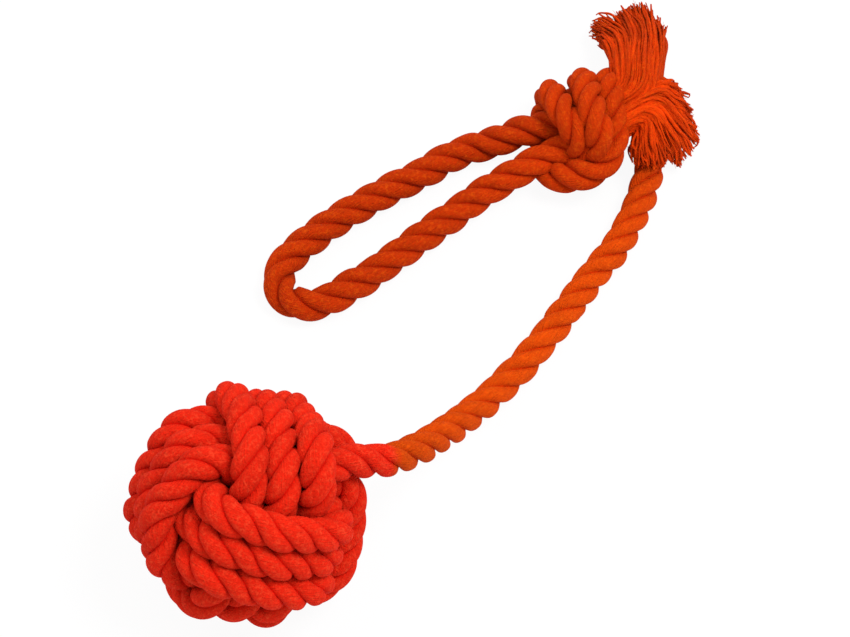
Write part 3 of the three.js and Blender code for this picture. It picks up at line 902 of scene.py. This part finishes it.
# How each of them lightens the dye: by how much, and from what share on.
STREAK_LIGHT = (0.42, 0.58)
FELT_LIGHT = (0.36, 0.74)
PATCH_LIGHT = (0.3, 0.93)
TONE_LIGHT = (0.03, 1.0)
DYE_LIGHT = 1.12
CREASE_SHADE_TOP = 0.5  # of the height of a strand, up to which the painted crease shade colours it
BUMP_HEIGHT = 0.0008
COTTON_ROUGHNESS = 0.92
COTTON_SPECULAR = 0.06
FUZZ = 0.08
FUZZ_ROUGHNESS = 0.5


def cotton(name, fuzz_colour, crease, fleck_amount, streak_height, felt_height):
    """Dyed cotton: yarn streaks along the lay, felted surface, painted shade in the creases, pale
    fuzz.
    """
    material, tree = new_material(name)
    uv = node(tree, "ShaderNodeUVMap", uv_map="lay").outputs[0]
    # This colour attribute holds the dye together with painted light and shade: a lighter tail, a
    # darker knot and loop, lighter tufts.
    dye_and_light = node(tree, "ShaderNodeAttribute", attribute_name="dye_and_light").outputs["Color"]
    top = node(tree, "ShaderNodeAttribute", attribute_name="top").outputs["Fac"]
    tone = node(tree, "ShaderNodeAttribute", attribute_name="tone").outputs["Fac"]
    place = node(tree, "ShaderNodeTexCoord").outputs["Object"]

    stretch = {"Vector": uv, "Scale": STREAK_SCALE}
    stretched = node(tree, "ShaderNodeMapping", stretch).outputs[0]
    streak = noise(tree, stretched, *STREAK_NOISE, noise_dimensions="2D")
    felt = noise(tree, place, *FELT_NOISE)
    patch = noise(tree, place, *PATCH_NOISE)

    light = scaled(tree, streak, *STREAK_LIGHT)
    for value, (scale, base) in ((felt, FELT_LIGHT), (patch, PATCH_LIGHT), (tone, TONE_LIGHT)):
        light = math_node(tree, "MULTIPLY", light, scaled(tree, value, scale, base))
    light = math_node(tree, "MULTIPLY", light, DYE_LIGHT)
    dyed_and_shaded = node(tree, "ShaderNodeVectorMath", {0: dye_and_light, 3: light}, operation="SCALE").outputs[0]
    # Painted shade: near the bottom of a crease the colour is multiplied by crease, darker and
    # redder, as shade and light bounced between the strands.
    deep = node(tree, "ShaderNodeVectorMath", {0: dyed_and_shaded, 1: crease}, operation="MULTIPLY").outputs[0]
    raised = node(
        tree,
        "ShaderNodeMapRange",
        {"Value": top, "From Min": 0.0, "From Max": CREASE_SHADE_TOP},
        interpolation_type="SMOOTHSTEP",
    ).outputs[0]
    dyed_and_shaded = blend_colour(tree, raised, deep, dyed_and_shaded)

    fleck = noise(tree, place, *FLECK_NOISE)
    fleck.node.inputs["Distortion"].default_value = FLECK_DISTORTION
    flecks = node(
        tree,
        "ShaderNodeMapRange",
        {
            "Value": fleck,
            "From Min": FLECK_FROM,
            "From Max": FLECK_TO,
            "To Min": 0.0,
            "To Max": fleck_amount,
        },
    ).outputs[0]
    flecks = math_node(tree, "MULTIPLY", flecks, top)
    mixed = blend_colour(tree, flecks, dyed_and_shaded, (*fuzz_colour, 1))

    height = math_node(
        tree,
        "ADD",
        math_node(tree, "MULTIPLY", streak, streak_height),
        math_node(tree, "MULTIPLY", felt, felt_height),
    )
    relief = {"Height": height, "Strength": 1.0, "Distance": BUMP_HEIGHT}
    shader = node(
        tree,
        "ShaderNodeBsdfPrincipled",
        {
            "Base Color": mixed,
            "Roughness": COTTON_ROUGHNESS,
            "Specular IOR Level": COTTON_SPECULAR,
            "Sheen Weight": FUZZ,
            "Sheen Roughness": FUZZ_ROUGHNESS,
            "Sheen Tint": (*fuzz_colour, 1),
            "Normal": node(tree, "ShaderNodeBump", relief).outputs[0],
        },
    )
    output(tree, "ShaderNodeOutputMaterial", shader.outputs[0])
    return material


# crease is the colour of the painted shade in the creases, as a multiplier.
red_cotton = cotton(
    "red_cotton",
    fuzz_colour=linear(252, 96, 56),
    crease=(1.0, 0.32, 0.15),
    fleck_amount=0.34,
    streak_height=0.5,
    felt_height=0.9,
)
orange_cotton = cotton(
    "orange_cotton",
    fuzz_colour=linear(236, 104, 14),
    crease=(1.2, 0.85, 0.4),
    fleck_amount=0.3,
    streak_height=0.7,
    felt_height=0.6,
)

CORD_RED = (0.36, 0.016, 0.005)
CORD_WAVE = {"Scale": 160.0, "Distortion": 6.0, "Detail": 2.0, "Detail Scale": 1.4}
CORD_DARKEST = 0.45
CORD_ROUGHNESS = 0.9
CORD_RELIEF = {"Strength": 0.7, "Distance": 0.001}


def wound_cord():
    """The core, of which nothing shows but a dark red between the turns."""
    material, tree = new_material("wound_cord")
    place = node(tree, "ShaderNodeTexCoord").outputs["Object"]
    wave = node(tree, "ShaderNodeTexWave", {"Vector": place, **CORD_WAVE}).outputs["Fac"]
    span = {"Value": wave, "To Min": CORD_DARKEST, "To Max": 1.0}
    ramp = node(tree, "ShaderNodeMapRange", span).outputs[0]
    tint = {0: CORD_RED, 3: ramp}
    colour = node(tree, "ShaderNodeVectorMath", tint, operation="SCALE").outputs[0]
    bump = node(tree, "ShaderNodeBump", {"Height": wave, **CORD_RELIEF}).outputs[0]
    shader = node(
        tree,
        "ShaderNodeBsdfPrincipled",
        {"Base Color": colour, "Roughness": CORD_ROUGHNESS, "Normal": bump},
    )
    output(tree, "ShaderNodeOutputMaterial", shader.outputs[0])
    return material


bands = (band_first, *other_bands)
orange_pieces = (tail_near_knot, knot_wraps, loop, leg_upper, leg_lower, tuft_upper, tuft_lower)
for piece in (*bands, tail_near_ball):
    piece.data.materials.append(red_cotton)
for piece in (tail_near_ball, *orange_pieces):
    piece.data.materials.append(orange_cotton)

# The stretch of the tail beyond the colour change takes the second material.
hinge = world(TAIL_HINGE)
tail_mesh = tail_near_ball.data
centre = np.array([tail_mesh.vertices[face.vertices[0]].co for face in tail_mesh.polygons])
beyond = ((centre - hinge) @ unit(world(TAIL[0]) - hinge)) > 0
tail_mesh.polygons.foreach_set("material_index", beyond.astype(np.int32))

core = frame["nodes"]["fist_core"]
core.data.materials.clear()
core.data.materials.append(wound_cord())


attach(band_first, "ball")
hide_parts("fist_first_turn_1", "fist_first_turn_2", "fist_first_turn_3")
for piece, name in zip(other_bands, ("second", "third")):
    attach(piece, "ball")
    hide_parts(*[f"fist_{name}_turn_{k}" for k in (1, 2, 3)])
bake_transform(tail_near_ball)
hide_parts("fist_exit", "tail_drop")
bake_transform(tail_near_knot)
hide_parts("tail_floor", "knot_entry")
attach(knot_wraps, "knot")
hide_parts("knot_wrap_1", "knot_wrap_2", "knot_wrap_3")
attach(leg_upper, "knot")
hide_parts("knot_leg_upper")
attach(leg_lower, "knot")
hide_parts("knot_leg_lower")
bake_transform(loop)
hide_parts("loop_upper_leg", "loop_fold", "loop_lower_leg")
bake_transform(tuft_upper)
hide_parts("tuft_upper")
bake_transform(tuft_lower)
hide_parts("tuft_lower")

# ---------------------------------------------------------------- floor and light
FLOOR_REACH = 4.0
FLOOR_Z = -0.0003
FLOOR_GREY = (0.86, 0.86, 0.86, 1)
FLOOR_GLOW = 0.93  # share of the floor that shows as the photograph's white background
WORLD_LIGHT = 0.72
WHITE = (1, 1, 1, 1)

floor_mesh = bpy.data.meshes.new("floor")
corners = [(-1, -1), (1, -1), (1, 1), (-1, 1)]
floor_mesh.from_pydata(
    [(x * FLOOR_REACH, y * FLOOR_REACH, FLOOR_Z) for x, y in corners], [], [(0, 1, 2, 3)]
)
floor = bpy.data.objects.new("floor", floor_mesh)
bpy.context.scene.collection.objects.link(floor)


def background_ray(tree):
    """1 for rays that show the background: seen, mirrored or through glass."""
    path = node(tree, "ShaderNodeLightPath").outputs
    mirrored = math_node(tree, "MAXIMUM", path["Is Glossy Ray"], path["Is Transmission Ray"])
    return math_node(tree, "MAXIMUM", path["Is Camera Ray"], mirrored)


def mixed_shader(tree, factor, first, second):
    mix = node(tree, "ShaderNodeMixShader", {"Fac": factor})
    tree.links.new(first.outputs[0], mix.inputs[1])
    tree.links.new(second.outputs[0], mix.inputs[2])
    return mix.outputs[0]


material, tree = new_material("pale_floor")
diffuse = node(tree, "ShaderNodeBsdfDiffuse", {"Color": FLOOR_GREY})
glow = node(tree, "ShaderNodeEmission", {"Color": WHITE, "Strength": 1.0})
amount = math_node(tree, "MULTIPLY", background_ray(tree), FLOOR_GLOW)
output(tree, "ShaderNodeOutputMaterial", mixed_shader(tree, amount, diffuse, glow))
floor_mesh.materials.append(material)

sky = bpy.data.worlds.new("sky")
sky.use_nodes = True
tree = sky.node_tree
tree.nodes.clear()
light = node(tree, "ShaderNodeBackground", {"Color": WHITE, "Strength": WORLD_LIGHT})
white = node(tree, "ShaderNodeBackground", {"Color": WHITE, "Strength": 1.0})
output(tree, "ShaderNodeOutputWorld", mixed_shader(tree, background_ray(tree), light, white))
bpy.context.scene.world = sky


def lamp(name, place, size, power):
    """A round lamp that shines at the origin."""
    data = bpy.data.lights.new(name, "AREA")
    data.shape = "DISK"
    data.size = size
    data.energy = power
    made = bpy.data.objects.new(name, data)
    made.location = place
    toward = -np.array(place)
    made.rotation_euler = (
        math.acos(-toward[2] / np.linalg.norm(toward)),
        0,
        math.atan2(toward[1], toward[0]) - math.pi / 2,
    )
    bpy.context.scene.collection.objects.link(made)


lamp("key", place=(0.45, 0.0, 1.0), size=0.5, power=9.2)
lamp("fill", place=(-0.5, 0.4, 0.9), size=0.8, power=3.5)

bpy.context.scene.view_settings.view_transform = "Standard"
